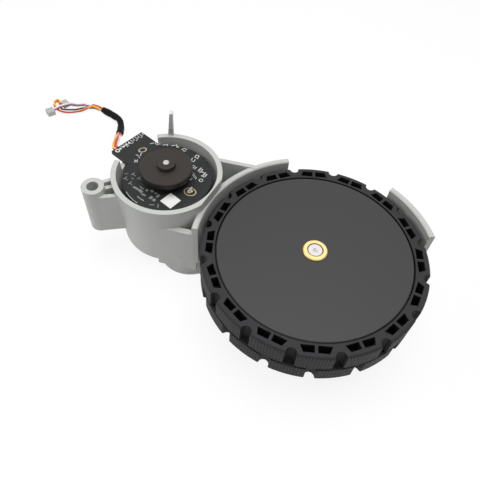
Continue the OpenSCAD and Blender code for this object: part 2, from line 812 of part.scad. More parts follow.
// Output gear, lightened by holes, with a hub that reaches up to the bearing
module output_gear() {
    phase = atan2(-g2_y, -g2_x) + 180 + 180 / output_teeth;
    color("ivory")
        difference() {
            union() {
                spur(output_teeth, mesh3_module, phase, output_z, output_t);
                at(0, 0, bush_z + bush_h + 0.2) cylinder(r = bearing_r - 1.7, h = bearing_z - bush_z - bush_h - 0.2);
            }
            cylinder(r = axle_r, h = rim_z);
            for (k = [0 : 5])
                rotate([0, 0, 60 * k]) at(13.4, 0) cylinder(r = 4.6, h = rim_z);
        }
}

module wheel_axle() {
    chamfer = 0.25;
    color("silver")
        difference() {
            union() {
                at(0, 0, axle_low) cylinder(r = axle_r, h = axle_top - chamfer - axle_low);
                at(0, 0, axle_top - chamfer) cylinder(r1 = axle_r, r2 = axle_r - chamfer, h = chamfer);
            }
            at(0, 0, axle_top - 0.8) cylinder(r1 = 0, r2 = 0.8, h = 0.8 + eps);
        }
}

module bearing_outer_race() {
    color("silver")
    at(0, 0, bearing_z)
        difference() {
            tube(bearing_r, bearing_r - race_t, bearing_w);
            at(0, 0, bearing_w / 2) ball_groove();
        }
}

module bearing_inner_race() {
    color("silver")
    at(0, 0, bearing_z)
        difference() {
            tube(axle_r + race_t, axle_r, bearing_w);
            at(0, 0, bearing_w / 2) ball_groove();
        }
}

module ball_groove() {
    rotate_extrude()
        at((bearing_r + axle_r) / 2, 0) circle(r = ball_r + 0.05);
}

module bearing_balls() {
    color("lightsteelblue")
        for (k = [0 : ball_count - 1])
            rotate([0, 0, 360 * k / ball_count])
                at((bearing_r + axle_r) / 2, 0, bearing_z + bearing_w / 2) sphere(r = ball_r, $fn = 32);
}

module axle_bush() {
    color("darkgoldenrod")
        at(0, 0, bush_z) tube(bush_r, axle_r + run_gap, bush_h);
}

module hub_insert() {
    color("gold")
        at(0, 0, bearing_top)
            difference() {
                union() {
                    cylinder(r = insert_r, h = face_z + insert_proud - bearing_top - 0.3);
                    at(0, 0, face_z + insert_proud - bearing_top - 0.3)
                        cylinder(r1 = insert_r, r2 = insert_r - 0.3, h = 0.3);
                }
                at(0, 0, -1) cylinder(r = axle_r, h = face_z);
            }
}

// Wheel moulding: front disc, barrel, hub and the ribs between them
module wheel_hub() {
    disc_top = face_z - 0.1;
    color([0.3, 0.3, 0.3])
        difference() {
            union() {
                rotate_extrude($fn = 96)
                    polygon([[0, disc_top - disc_t], [rim_r - barrel_t, disc_top - disc_t],
                        [rim_r - barrel_t, tyre_back + 0.6], [rim_r, tyre_back + 0.6], [rim_r, disc_top - disc_t],
                        [rim_r - 0.3, disc_top - disc_t], [rim_r - 0.3, disc_top - 0.3],
                        [rim_r - 0.6, disc_top], [0, disc_top]]);
                at(0, 0, hub_low) cylinder(r = hub_r, h = disc_top - hub_low - disc_t / 2);
                for (k = [0 : spoke_count - 1])
                    rotate([0, 0, 360 * (k + 0.5) / spoke_count])
                        translate([hub_r - 1, -rib_t / 2, hub_low + 1.2])
                            cube([rim_r - barrel_t - hub_r + 1.5, rib_t, disc_top - disc_t - hub_low - 1]);
            }
            cylinder(r = insert_r, h = rim_z);
        }
}

// Tread: two rows of lugs, the second row half a pitch on, with paired hollows in the outer face
module tyre() {
    color([0.2, 0.2, 0.2])
        difference() {
            rotate_extrude($fn = 96)
                polygon([[rim_r, tyre_back], [wheel_r - edge_chamfer, tyre_back], [wheel_r, tyre_back + edge_chamfer],
                    [wheel_r, slit_z - row_slit], [slit_r, slit_z - row_slit], [slit_r, slit_z],
                    [wheel_r, slit_z], [wheel_r, face_z - edge_chamfer], [wheel_r - edge_chamfer, face_z],
                    [rim_r, face_z]]);
            for (k = [0 : lug_count - 1])
                rotate([0, 0, tread_phase + pitch_deg * k]) {
                    groove(tyre_back - 1, slit_z - row_slit / 2);
                    rotate([0, 0, pitch_deg / 2]) groove(slit_z - row_slit / 2, face_z + 1);
                    face_hollows();
                }
        }
}

// Groove with a round bottom, cut along the axle
module groove(z0, z1) {
    bottom_r = groove_w / 2;
    at(floor_r + bottom_r, 0, z0)
        linear_extrude(z1 - z0)
            polygon(concat([[lug_h + 2, bottom_r]], [for (i = [0 : 6]) polar(bottom_r, 90 + 30 * i)],
                [[lug_h + 2, -bottom_r]]));
}

// The pair of hollows behind one lug
module face_hollows() {
    inner = rim_r + 0.6;
    outer = floor_r + 0.35;
    at(0, 0, face_z - pocket_depth)
        linear_extrude(pocket_depth + 1)
            for (side = [-1, 1])
                polygon([[inner, side * 0.45], [inner, side * (0.45 + pocket_l)],
                    [outer, side * (pocket_l - 0.35)], [outer, side * 0.45]]);
}

// Round tube through the points of a route
function unit(v) = v / norm(v);

function heading(route, i) =
    unit(route[min(i + 1, len(route) - 1)] - route[max(i - 1, 0)]);

function ring(route, i, r, sides) =
    let (t = heading(route, i), s = unit(cross(t, [0, 0, 1])), u = cross(s, t))
    [for (k = [0 : sides - 1]) route[i] + r * (s * cos(360 * k / sides) + u * sin(360 * k / sides))];

function part_of(route, i0, i1) = [for (i = [i0 : i1]) route[i]];

module cord_tube(route, r, sides = 8) {
    n = len(route);
    polyhedron(
        points = [for (i = [0 : n - 1]) each ring(route, i, r, sides)],
        faces = concat(
            [[for (k = [sides - 1 : -1 : 0]) k]],
            [for (i = [0 : n - 2]) for (k = [0 : sides - 1])
                [i * sides + k, i * sides + (k + 1) % sides, (i + 1) * sides + (k + 1) % sides, (i + 1) * sides + k]],
            [[for (k = [0 : sides - 1]) (n - 1) * sides + k]]));
}

module lead_bundle() {
    color("firebrick") cord_tube(bundle_route, bundle_r);
}

module shrink_sleeve() {
    route = part_of(bundle_route, sleeve_from, sleeve_to);
    color([0.12, 0.12, 0.12])
        difference() {
            cord_tube(route, bundle_r + sleeve_wall + 0.05);
            cord_tube(part_of(bundle_route, sleeve_from - 1, sleeve_to + 1), bundle_r + 0.05);
        }
}

module lead_red_yellow() {
    color("orangered") cord_tube(red_route, lead_r);
}

module lead_black() {
    color([0.1, 0.1, 0.1]) cord_tube(black_route, lead_r);
}

module lead_purple_white() {
    color("rosybrown") cord_tube(purple_route, lead_r);
}

// Small plug housing, open at its mating end
module plug(w, d, h) {
    difference() {
        translate([0, -w / 2, 0]) cube([d, w, h]);
        translate([d - 1.6, -w / 2 + 0.5, 0.5]) cube([2, w - 1, h - 1]);
    }
}

module plug_front() {
    color("whitesmoke")
        at(front_plug_at[0], front_plug_at[1]) rotate([0, 0, front_plug_dir]) plug(3.4, 3.2, 2);
}

module plug_rear() {
    color("whitesmoke")
        at(rear_plug_at[0], rear_plug_at[1]) rotate([0, 0, rear_plug_dir]) plug(3, 2.8, 2);
}

housing();
gear_cover();
cover_screws();
motor_can();
motor_end_cap();
motor_magnets();
motor_bushes();
motor_screws();
motor_shaft();
armature_core();
armature_windings();
commutator();
motor_brushes();
motor_terminals();
motor_pinion();
encoder_magnet();
hall_sensors();
circuit_board();
reduction_gear_1();
reduction_gear_2();
gear_pins();
output_gear();
wheel_axle();
bearing_outer_race();
bearing_inner_race();
bearing_balls();
axle_bush();
hub_insert();
wheel_hub();
tyre();
lead_bundle();
shrink_sleeve();
lead_red_yellow();
lead_black();
lead_purple_white();
plug_front();
plug_rear();
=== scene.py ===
import math

import bpy
import numpy as np
from mathutils import Matrix, Vector


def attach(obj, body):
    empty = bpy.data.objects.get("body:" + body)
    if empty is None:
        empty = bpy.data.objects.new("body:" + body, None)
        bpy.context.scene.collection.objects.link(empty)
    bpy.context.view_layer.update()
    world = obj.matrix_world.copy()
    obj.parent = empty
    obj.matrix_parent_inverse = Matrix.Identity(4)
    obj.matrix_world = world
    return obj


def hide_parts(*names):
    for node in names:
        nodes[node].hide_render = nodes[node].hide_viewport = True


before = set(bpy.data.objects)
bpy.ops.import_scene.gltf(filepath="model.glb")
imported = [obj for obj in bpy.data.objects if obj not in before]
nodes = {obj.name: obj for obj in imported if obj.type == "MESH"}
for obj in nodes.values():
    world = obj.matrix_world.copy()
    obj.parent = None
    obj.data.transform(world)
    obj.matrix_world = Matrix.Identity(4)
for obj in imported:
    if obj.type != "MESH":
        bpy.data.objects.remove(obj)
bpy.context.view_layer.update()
scene = bpy.context.scene
MM = 0.001

# ---------------------------------------------------------------- camera, at the picture's angle
TILT, ROLL = math.radians(53.62), math.radians(4.638)
DISTANCE, FOCAL, U0, V0 = 153.213, 503.125, 315.071, 250.871
back = Vector((0, -math.cos(TILT), math.sin(TILT)))
right0 = Vector((1, 0, 0))
up0 = Vector((0, math.sin(TILT), math.cos(TILT)))
right = math.cos(ROLL) * right0 + math.sin(ROLL) * up0
up = -math.sin(ROLL) * right0 + math.cos(ROLL) * up0
shift_x = (U0 - 240) / FOCAL * DISTANCE
shift_y = -(V0 - 240) / FOCAL * DISTANCE
eye = (Vector((0, 0, 26)) - shift_x * right - shift_y * up + DISTANCE * back) * MM
cam_data = bpy.data.cameras.new("camera")
cam_data.sensor_width = 36
cam_data.lens = FOCAL / 480 * 36
cam_data.clip_start, cam_data.clip_end = 0.01, 10
cam = bpy.data.objects.new("camera", cam_data)
scene.collection.objects.link(cam)
cam.matrix_world = Matrix(
    [[right[i], up[i], back[i], eye[i]] for i in range(3)] + [[0, 0, 0, 1]]
)
scene.camera = cam
scene.view_settings.view_transform = "Standard"

# ---------------------------------------------------------------- helpers


def link(obj, body="housing"):
    scene.collection.objects.link(obj)
    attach(obj, body)
    return obj


def mesh_obj(name, verts, faces, material, body="housing", smooth=False):
    me = bpy.data.meshes.new(name)
    me.from_pydata([tuple(Vector(v) * MM) for v in verts], [], faces)
    me.update()
    if smooth:
        for p in me.polygons:
            p.use_smooth = True
    ob = bpy.data.objects.new(name, me)
    me.materials.append(material)
    return link(ob, body)


def tree_of(name):
    m = bpy.data.materials.new(name)
    m.use_nodes = True
    nt = m.node_tree
    return m, nt, nt.nodes["Principled BSDF"]


def node(nt, kind, **inputs):
    n = nt.nodes.new(kind)
    for k, v in inputs.items():
        if k in n.inputs:
            n.inputs[k].default_value = v
        else:
            setattr(n, k, v)
    return n


def math_node(nt, op, a, b=None):
    n = nt.nodes.new("ShaderNodeMath")
    n.operation = op
    for i, x in enumerate((a, b)):
        if x is None:
            continue
        if isinstance(x, (int, float)):
            n.inputs[i].default_value = x
        else:
            nt.links.new(x, n.inputs[i])
    return n.outputs[0]


def plain(name, color, rough=0.5, metal=0.0, bump=0.0, scale=900.0, vary=0.06, edge=0.0, coat=0.0, spec=0.5):
    """Material with a little noise in its colour, a fine bump and, for mouldings, rounded edges."""
    m, nt, bsdf = tree_of(name)
    bsdf.inputs["Roughness"].default_value = rough
    bsdf.inputs["Metallic"].default_value = metal
    bsdf.inputs["Coat Weight"].default_value = coat
    bsdf.inputs["Specular IOR Level"].default_value = spec
    coord = nt.nodes.new("ShaderNodeTexCoord")
    noise = node(nt, "ShaderNodeTexNoise", Scale=scale, Detail=4.0)
    nt.links.new(coord.outputs["Object"], noise.inputs["Vector"])
    ramp = nt.nodes.new("ShaderNodeMix")
    ramp.data_type = "RGBA"
    ramp.inputs[6].default_value = tuple(c * (1 - vary) for c in color) + (1,)
    ramp.inputs[7].default_value = tuple(min(1, c * (1 + vary)) for c in color) + (1,)
    nt.links.new(noise.outputs["Fac"], ramp.inputs[0])
    nt.links.new(ramp.outputs[2], bsdf.inputs["Base Color"])
    normal = None
    if edge:
        bevel = node(nt, "ShaderNodeBevel", samples=6)
        bevel.inputs["Radius"].default_value = edge * MM
        normal = bevel.outputs[0]
    if bump:
        b = node(nt, "ShaderNodeBump", Strength=1.0)
        b.inputs["Distance"].default_value = bump * MM
        nt.links.new(noise.outputs["Fac"], b.inputs["Height"])
        if normal is not None:
            nt.links.new(normal, b.inputs["Normal"])
        normal = b.outputs[0]
    if normal is not None:
        nt.links.new(normal, bsdf.inputs["Normal"])
    return m


M = {
    "housing": plain("housing_grey", (0.56, 0.57, 0.545), rough=0.42, bump=0.012, scale=2500, vary=0.015, edge=0.3, spec=0.3),
    "cover": plain("cover_grey", (0.52, 0.53, 0.51), rough=0.45, bump=0.012, scale=2500, vary=0.015, edge=0.2),
    "steel": plain("steel", (0.62, 0.62, 0.63), rough=0.28, metal=1.0, scale=1500),
    "shaft": plain("shaft_steel", (0.50, 0.48, 0.45), rough=0.40, metal=0.6, scale=2500, edge=0.15),
    "axle": plain("axle_steel", (0.60, 0.58, 0.57), rough=0.45, metal=0.3, scale=2500, vary=0.12, bump=0.02, edge=0.15),
    "black": plain("black_plastic", (0.03, 0.03, 0.03), rough=0.5, bump=0.01, scale=2500),
    "magnet": plain("magnet_black", (0.030, 0.024, 0.021), rough=0.50, spec=0.22, bump=0.01, scale=3000, vary=0.1, edge=0.15),
    "bronze": plain("bronze", (0.50, 0.33, 0.15), rough=0.45, metal=0.9),
    "core": plain("core_steel", (0.25, 0.25, 0.26), rough=0.5, metal=0.7),
    "copper": plain("copper", (0.70, 0.33, 0.15), rough=0.35, metal=0.9, scale=1800, vary=0.2),
    "carbon": plain("carbon", (0.04, 0.04, 0.04), rough=0.6),
    "solder": plain("solder", (0.72, 0.71, 0.68), rough=0.3, metal=0.9, scale=3000, vary=0.15, bump=0.03),
    "board": plain("board_black", (0.019, 0.020, 0.020), rough=0.55, scale=1600, vary=0.35, bump=0.01, spec=0.2),
    "chip": plain("chip_black", (0.02, 0.02, 0.02), rough=0.5),
    "acetal": plain("gear_acetal", (0.72, 0.70, 0.63), rough=0.35, scale=900, vary=0.03),
    "race": plain("race_steel", (0.75, 0.75, 0.76), rough=0.15, metal=1.0),
    "brass": plain("brass", (0.85, 0.60, 0.24), rough=0.38, metal=0.4, scale=3000, vary=0.1, bump=0.01, edge=0.2),
    "disc": plain("wheel_disc", (0.032, 0.032, 0.033), rough=0.50, bump=0.006, scale=3000, vary=0.05, edge=0.12, spec=0.3),
    "plug": plain("plug_white", (0.50, 0.50, 0.49), rough=0.35, bump=0.01, edge=0.12),
    "sleeve": plain("sleeve_black", (0.007, 0.007, 0.008), rough=0.5, bump=0.05, scale=700, vary=0.1, spec=0.06),
    "gilt": plain("gilt_rim", (0.50, 0.43, 0.28), rough=0.4, metal=0.4, scale=3000, vary=0.2),
    "print": plain("print_white", (0.62, 0.63, 0.62), rough=0.7, scale=3000, vary=0.25),
    "print_dim": plain("print_dim", (0.22, 0.225, 0.225), rough=0.7, scale=3000, vary=0.4),
    "label": plain("label_white", (0.80, 0.80, 0.78), rough=0.6, scale=600, vary=0.04),
    "yellow": plain("lead_yellow", (0.95, 0.50, 0.03), rough=0.28, coat=0.3, vary=0.03),
    "red": plain("lead_red", (0.62, 0.022, 0.012), rough=0.28, coat=0.3, vary=0.03),
    "white": plain("lead_white", (0.85, 0.82, 0.80), rough=0.3, coat=0.3, vary=0.03),
    "blackw": plain("lead_black", (0.018, 0.018, 0.018), rough=0.3, coat=0.3, vary=0.03),
    "purple": plain("lead_purple", (0.30, 0.09, 0.16), rough=0.3, coat=0.3, vary=0.03),
}


def tread_material():
    """Rubber: a fine grid on the lugs' outer faces, plain on the side face, and painted shade, near-black, down in
    hollows and grooves.
    """
    m, nt, bsdf = tree_of("tyre_rubber")
    bsdf.inputs["Roughness"].default_value = 0.62
    bsdf.inputs["Specular IOR Level"].default_value = 0.2
    coord = nt.nodes.new("ShaderNodeTexCoord")
    sep = nt.nodes.new("ShaderNodeSeparateXYZ")
    nt.links.new(coord.outputs["Object"], sep.inputs[0])
    x, y, z = sep.outputs
    along = math_node(nt, "MULTIPLY", math_node(nt, "ARCTAN2", y, x), 35 * MM)
    a = math_node(nt, "SINE", math_node(nt, "MULTIPLY", along, 2 * math.pi / (0.95 * MM)))
    b = math_node(nt, "SINE", math_node(nt, "MULTIPLY", z, 2 * math.pi / (1.2 * MM)))
    dots = math_node(
        nt, "MULTIPLY", math_node(nt, "ADD", math_node(nt, "MULTIPLY", a, 0.5), 0.5),
        math_node(nt, "ADD", math_node(nt, "MULTIPLY", b, 0.5), 0.5),
    )
    radius = math_node(
        nt, "SQRT", math_node(nt, "ADD", math_node(nt, "MULTIPLY", x, x), math_node(nt, "MULTIPLY", y, y))
    )
    outer = math_node(nt, "GREATER_THAN", radius, 34.9 * MM)
    knurl = math_node(nt, "MULTIPLY", dots, outer)
    noise = node(nt, "ShaderNodeTexNoise", Scale=2500.0, Detail=3.0)
    nt.links.new(coord.outputs["Object"], noise.inputs["Vector"])
    height = math_node(nt, "ADD", knurl, math_node(nt, "MULTIPLY", noise.outputs["Fac"], 0.06))
    bevel = node(nt, "ShaderNodeBevel", samples=6)
    bevel.inputs["Radius"].default_value = 0.3 * MM
    bump = node(nt, "ShaderNodeBump", Strength=1.0)
    bump.inputs["Distance"].default_value = 0.25 * MM
    nt.links.new(height, bump.inputs["Height"])
    nt.links.new(bevel.outputs[0], bump.inputs["Normal"])
    nt.links.new(bump.outputs[0], bsdf.inputs["Normal"])
    grid = nt.nodes.new("ShaderNodeMix")
    grid.data_type = "RGBA"
    grid.inputs[6].default_value = (0.010, 0.010, 0.011, 1)
    grid.inputs[7].default_value = (0.075, 0.075, 0.079, 1)
    nt.links.new(knurl, grid.inputs[0])
    side = nt.nodes.new("ShaderNodeMix")
    side.data_type = "RGBA"
    side.inputs[6].default_value = (0.026, 0.026, 0.028, 1)
    nt.links.new(grid.outputs[2], side.inputs[7])
    nt.links.new(outer, side.inputs[0])
    # below the face and inside the lugs' outer radius there are only hollows, grooves and the slit, so there the rubber
    # gets painted shade: a near-black mix over its colour
    hollow_shade_mask = math_node(nt, "MULTIPLY", math_node(nt, "LESS_THAN", radius, 34.3 * MM), math_node(nt, "LESS_THAN", z, 25.8 * MM))
    hollow_shade_mix = nt.nodes.new("ShaderNodeMix")
    hollow_shade_mix.data_type = "RGBA"
    hollow_shade_mix.inputs[7].default_value = (0.006, 0.006, 0.006, 1)
    nt.links.new(side.outputs[2], hollow_shade_mix.inputs[6])
    nt.links.new(math_node(nt, "MULTIPLY", hollow_shade_mask, 0.9), hollow_shade_mix.inputs[0])
    nt.links.new(hollow_shade_mix.outputs[2], bsdf.inputs["Base Color"])
    return m


M["tyre"] = tread_material()


def tint(material, color, away_mm=None, above_mm=None):
    """Another colour for what lies further than away_mm from the wheel's axis, or higher than above_mm."""
    nt = material.node_tree
    bsdf = nt.nodes["Principled BSDF"]
    source = bsdf.inputs["Base Color"].links[0].from_socket
    coord = nt.nodes.new("ShaderNodeTexCoord")
    sep = nt.nodes.new("ShaderNodeSeparateXYZ")
    nt.links.new(coord.outputs["Object"], sep.inputs[0])
    x, y, z = sep.outputs
    if above_mm is not None:
        there = math_node(nt, "GREATER_THAN", z, above_mm * MM)
    else:
        squares = math_node(nt, "ADD", math_node(nt, "MULTIPLY", x, x), math_node(nt, "MULTIPLY", y, y))
        there = math_node(nt, "GREATER_THAN", math_node(nt, "SQRT", squares), away_mm * MM)
    mix = nt.nodes.new("ShaderNodeMix")
    mix.data_type = "RGBA"
    nt.links.new(there, mix.inputs[0])
    nt.links.new(source, mix.inputs[6])
    mix.inputs[7].default_value = (*color, 1)
    nt.links.new(mix.outputs[2], bsdf.inputs["Base Color"])


AXLE_FACE_R, HORN_FOOT_Z = 2.15, 34.0
# painted shade: the chamfer ring round the axle's end face, beyond AXLE_FACE_R, is painted near-black
tint(M["axle"], (0.10, 0.09, 0.08), away_mm=AXLE_FACE_R)
# painted light: the horn, above HORN_FOOT_Z, is painted a lighter grey than the rest of the housing so that its dimly
# lit front face reads bright
tint(M["housing"], (0.74, 0.74, 0.73), above_mm=HORN_FOOT_Z)

USES = {
    "housing": "housing", "gear_cover": "cover", "cover_screws": "steel", "motor_can": "steel",
    "motor_end_cap": "black", "motor_magnets": "black", "motor_bushes": "bronze", "motor_screws": "steel",
    "motor_shaft": "shaft", "armature_core": "core", "armature_windings": "copper", "commutator": "copper",
    "motor_brushes": "carbon", "motor_terminals": "solder", "motor_pinion": "brass", "encoder_magnet": "magnet",
    "hall_sensors": "chip", "circuit_board": "board", "reduction_gear_1": "acetal", "reduction_gear_2": "acetal",
    "gear_pins": "shaft", "output_gear": "acetal", "wheel_axle": "axle", "bearing_outer_race": "race",
    "bearing_inner_race": "race", "bearing_balls": "race", "axle_bush": "bronze", "hub_insert": "brass",
    "wheel_hub": "disc", "tyre": "tyre", "lead_bundle": "red", "shrink_sleeve": "sleeve",
    "lead_red_yellow": "red", "lead_black": "blackw", "lead_purple_white": "purple", "plug_front": "plug",
    "plug_rear": "plug",
}
for name, ob in nodes.items():
    ob.data.materials.clear()
    ob.data.materials.append(M[USES[name]])

# ---------------------------------------------------------------- leads: five twisted together, then three groups
MOTOR = 53.56 * np.array([math.cos(math.radians(154.6)), math.sin(math.radians(154.6))])
TAB = math.radians(142.1)
OUT = np.array([math.cos(TAB), math.sin(TAB)])
SIDE = np.array([-math.sin(TAB), math.cos(TAB)])
BOARD_TOP = 28.75
edge = np.array([*(MOTOR + 22.1 * OUT + 2.5 * SIDE), BOARD_TOP - 0.7])
TRUNK = [edge, edge + 1.2 * np.array([*OUT, 0])] + [
    np.array(p)
    for p in (
        (-68.6, 37.6, 28.0), (-68.9, 41.0, 26.9), (-70.4, 46.0, 23.2), (-72.2, 50.4, 18.8), (-73.9, 55.0, 14.0),
        (-75.6, 59.6, 9.5), (-76.8, 64.4, 5.6), (-77.5, 69.2, 2.9), (-78.0, 73.6, 1.7), (-78.8, 77.3, 1.4),
        (-80.4, 80.2, 1.4), (-83.0, 82.2, 1.4), (-86.2, 84.2, 1.4), (-89.2, 86.0, 1.3), (-92.2, 87.2, 1.2),
        (-94.6, 87.2, 1.15),
    )
]
RED = [(-97.0, 84.9, 0.7), (-100.0, 83.4, 0.6), (-103.4, 82.5, 0.6), (-106.8, 83.0, 0.6), (-109.2, 84.6, 0.7),
       (-110.7, 86.8, 0.9), (-110.5, 88.4, 1.1), (-109.7, 88.9, 1.2), (-108.9, 88.4, 1.15), (-108.5, 87.6, 1.1),
       (-108.23, 87.16, 1.0), (-107.898, 87.154, 1.0), (-107.63, 87.451, 1.0)]
BLACK = [(-97.4, 86.2, 0.9), (-100.6, 85.3, 0.5), (-103.6, 84.8, 0.5), (-106.4, 84.67, 0.6), (-107.1, 84.97, 0.7),
         (-107.4, 85.67, 0.85), (-107.141, 86.343, 1.0), (-106.806, 86.715, 1.0)]
PURPLE = [(-97.8, 88.4, 0.6), (-101.0, 87.9, 0.5), (-103.4, 87.0, 1.4), (-105.8, 85.2, 1.9), (-108.0, 84.05, 1.65),
          (-109.127, 83.169, 1.3), (-109.6, 82.8, 1.3)]


def spline(points, step=0.35):
    """Points of a smooth line through the given ones, evenly spaced."""
    p = np.array(points, float)
    ext = np.vstack([2 * p[0] - p[1], p, 2 * p[-1] - p[-2]])
    out = []
    for i in range(len(p) - 1):
        a, b, c, d = ext[i : i + 4]
        for t in np.linspace(0, 1, 24, endpoint=False):
            out.append(0.5 * (2 * b + (c - a) * t + (2 * a - 5 * b + 4 * c - d) * t**2 + (3 * b - a - 3 * c + d) * t**3))
    out.append(p[-1])
    out = np.array(out)
    s = np.concatenate([[0], np.cumsum(np.linalg.norm(np.diff(out, axis=0), axis=1))])
    n = max(2, int(round(s[-1] / step)) + 1)
    q = np.linspace(0, s[-1], n)
    return np.stack([np.interp(q, s, out[:, k]) for k in range(3)], 1), q


def frames(line):
    t = np.gradient(line, axis=0)
    t /= np.linalg.norm(t, axis=1)[:, None]
    side = np.cross(t, (0, 0, 1))
    side /= np.linalg.norm(side, axis=1)[:, None]
    return t, side, np.cross(side, t)


trunk, trunk_s = spline(TRUNK)
_, t_side, t_up = frames(trunk)


def place_on_trunk(point):
    return float(trunk_s[np.argmin(np.linalg.norm(trunk - np.array(point), axis=1))])


LEADS = [
    ("yellow", 142, "red"), ("red", 70, "red"), ("white", -2, "purple"), ("black", -74, "black"), ("purple", 214, "purple"),
]
LEAD_R, RING = 0.4, 0.66
ENDS = {"red": RED, "black": BLACK, "purple": PURPLE}
sleeve_start, sleeve_end = (place_on_trunk(TRUNK[9]), place_on_trunk(TRUNK[15]) - 1.0)
# degrees that the bundle has turned at its start, at the sleeve's two ends and at its own far end
TWIST_AT = (0.0, sleeve_start, sleeve_end, trunk_s[-1])
TWIST = (0.0, -25.0, 30.0, -34.0)


def lead(name, start_deg, group, offset):
    ang = np.radians(start_deg + np.interp(trunk_s, TWIST_AT, TWIST))
    body = trunk + RING * (np.cos(ang)[:, None] * t_side + np.sin(ang)[:, None] * t_up)
    cut = len(body) - 3
    share = np.interp(np.arange(len(ENDS[group])), MIDDLE_AT, MIDDLE)[:, None]
    tail = np.array(ENDS[group], float) + (1 - share) * np.array(offset) + share * np.array(MID_OFFSETS.get(name, offset))
    tail_line, _ = spline([body[cut - 4], body[cut - 1], *tail])
    return np.vstack([body[: cut - 4], tail_line])


def curve(name, line, radius, material, body="housing", resolution=3):
    cu = bpy.data.curves.new(name, "CURVE")
    cu.dimensions = "3D"
    cu.bevel_depth = radius * MM
    cu.bevel_resolution = resolution
    cu.use_fill_caps = True
    sp = cu.splines.new("POLY")
    sp.points.add(len(line) - 1)
    for i, p in enumerate(line):
        sp.points[i].co = (*(np.array(p) * MM), 1)
    cu.materials.append(material)
    ob = bpy.data.objects.new(name, cu)
    return link(ob, body)


def wrinkled_sleeve(name, first, last):
    """Shrink sleeve: a tube along the trunk with uneven folds, tight at both ends."""
    sides, rows = 28, 110
    line = np.array([[np.interp(s, trunk_s, trunk[:, k]) for k in range(3)] for s in np.linspace(first, last, rows)])
    _, side, upward = frames(line)
    verts, faces = [], []
    for ring in range(2 * rows):
        outer = ring < rows
        i = ring if outer else 2 * rows - 1 - ring
        u = i / (rows - 1)
        at_end = min(u, 1 - u) * rows / 6
        swell = 1.42 + 0.10 * math.sin(9.0 * u + 0.6) + 0.05 * math.sin(31 * u) - 0.14 * max(0.0, 1 - at_end)
        for k in range(sides):
            a = 2 * math.pi * k / sides
            fold = 0.045 * math.sin(3 * a + 5 * math.sin(6 * u)) + 0.03 * math.sin(70 * u + 2 * a)
            r = swell + fold if outer else 1.02
            verts.append(line[i] + r * (math.cos(a) * side[i] + math.sin(a) * upward[i]))
    for ring in range(2 * rows):
        nxt = (ring + 1) % (2 * rows)
        for k in range(sides):
            j = (k + 1) % sides
            faces.append((ring * sides + k, nxt * sides + k, nxt * sides + j, ring * sides + j))
    return mesh_obj(name, [tuple(v) for v in verts], faces, M["sleeve"], smooth=True)


sleeve = wrinkled_sleeve("sleeve_black", sleeve_start, sleeve_end)
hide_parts("shrink_sleeve")

# where two leads share a route, one lies beside the other, and yellow passes behind red where they sag
MIDDLE_AT, MIDDLE = (0, 1, 3, 5), (0.6, 1.0, 1.0, 0.0)
MID_OFFSETS = {"yellow": (0.0, 0.55, -0.15), "red": (0.0, -0.1, 0.35)}
OFFSETS = {"yellow": (0.1, 0.55, 0.55), "red": (0, 0, 0), "white": (0.2, 0.5, 0.45), "black": (0, 0, 0), "purple": (0, 0, 0)}
for name, start, group in LEADS:
    line = lead(name, start, group, OFFSETS[name])
    line[:, 2] = np.maximum(line[:, 2], 0.42)
    ob = curve("lead_" + name, line, LEAD_R, M["blackw" if name == "black" else name])
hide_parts("lead_bundle", "lead_red_yellow")
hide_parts("lead_black")
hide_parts("lead_purple_white")

# ---------------------------------------------------------------- what lies on the circuit board


def on_board(n, t, up=0.0):
    return (*(MOTOR + n * OUT + t * SIDE), BOARD_TOP + up)


def slab(verts, faces, n, t, length, width, turn, height, low=-0.01):
    """Adds one flat bar: length along the turned n direction, width across it."""
    c, w = math.cos(math.radians(turn)), math.sin(math.radians(turn))
    base = len(verts)
    for z in (low, height):
        for dn, dt in ((-1, -1), (1, -1), (1, 1), (-1, 1)):
            a, b = dn * length / 2, dt * width / 2
            verts.append(on_board(n + a * c - b * w, t + a * w + b * c, z))
    faces += [tuple(base + k for k in f) for f in (
        (3, 2, 1, 0), (4, 5, 6, 7), (0, 1, 5, 4), (1, 2, 6, 5), (2, 3, 7, 6), (3, 0, 4, 7))]


def bars(name, items, material, height=0.03):
    verts, faces = [], []
    for item in items:
        slab(verts, faces, *item, height)
    return mesh_obj(name, verts, faces, material)


def washer(name, n, t, r_in, r_out, material, height=0.04, stretch=1.0, turn=0.0):
    sides = 40
    c, w = math.cos(math.radians(turn)), math.sin(math.radians(turn))
    verts, faces = [], []
    for z, r in ((-0.01, r_in), (-0.01, r_out), (height, r_out), (height, r_in)):
        for k in range(sides):
            a, b = r * stretch * math.cos(2 * math.pi * k / sides), r * math.sin(2 * math.pi * k / sides)
            verts.append(on_board(n + a * c - b * w, t + a * w + b * c, z))
    for ring in range(4):
        for k in range(sides):
            j, nxt = (k + 1) % sides, (ring + 1) % 4
            faces.append((ring * sides + k, ring * sides + j, nxt * sides + j, nxt * sides + k))
    return mesh_obj(name, verts, faces, material)


def hook(n, t, size, turn):
    """Three strokes of an open-ended outline."""
    c, w = math.cos(math.radians(turn)), math.sin(math.radians(turn))
    out = []
    for dn, dt, l, across in ((0, -0.5, 1, 0), (0, 0.5, 1, 0), (-0.5, 0, 1, 90)):
        a, b = dn * size, dt * size
        out.append((n + a * c - b * w, t + a * w + b * c, l * size + 0.2, 0.24, turn + across))
    return out


edge_marks = []
for k, t in enumerate((0.6, -1.5, -3.6, -5.7, -7.7)):
    edge_marks += hook(21.2, t, 1.05, 0)
edge_marks += [(20.1, t, 0.9, 0.26, 90) for t in (-0.5, -2.6, -4.7, -6.8)]
bars("edge_marks", edge_marks, M["print"])
washer("ring_pad", 20.8, 3.35, 0.42, 0.85, M["solder"])
for k in range(1, 5):
    washer("lead_pad_%d" % k, 20.8, 3.35 - 1.3 * k, 0.05, 0.42, M["solder"], height=0.12)

